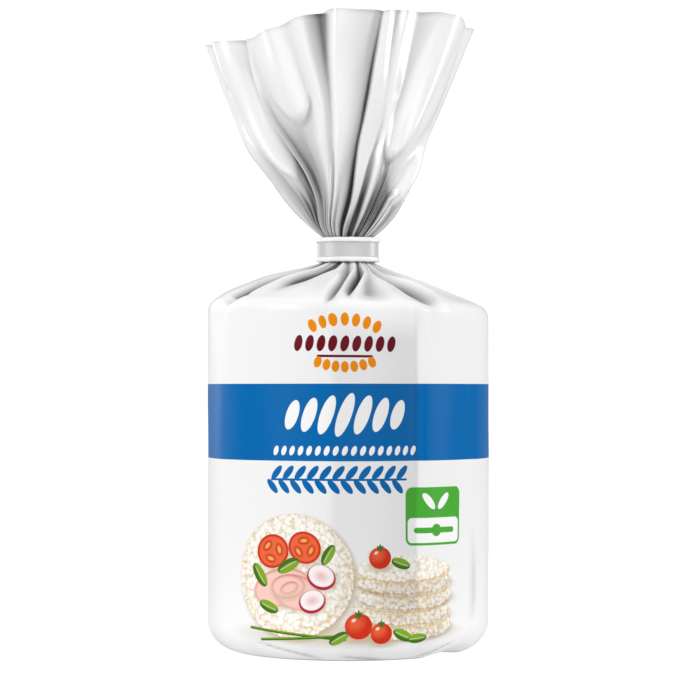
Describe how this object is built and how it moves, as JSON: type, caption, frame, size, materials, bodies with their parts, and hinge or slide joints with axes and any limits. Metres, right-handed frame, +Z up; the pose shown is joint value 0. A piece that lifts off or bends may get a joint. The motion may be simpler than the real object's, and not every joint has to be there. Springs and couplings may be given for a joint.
{
  "type": "bag of puffed rice cakes",
  "caption": "Upright round pack of puffed rice cakes in white printed film, gathered through a clip band under an open fan of film.",
  "frame": {"origin": "centre of the foot, on the surface that the pack stands on", "axes": "+Z up along the stack, -Y the printed front, +X to the right as seen from the front"},
  "size_m": [0.0953, 0.0955, 0.2117],
  "materials": {
    "film": "glossy white film with a blue printed band",
    "clip": "satin white strip"
  },
  "bodies": {
    "root": {"film_bag": "film", "clip_band": "clip"}
  },
  "joints": []
}
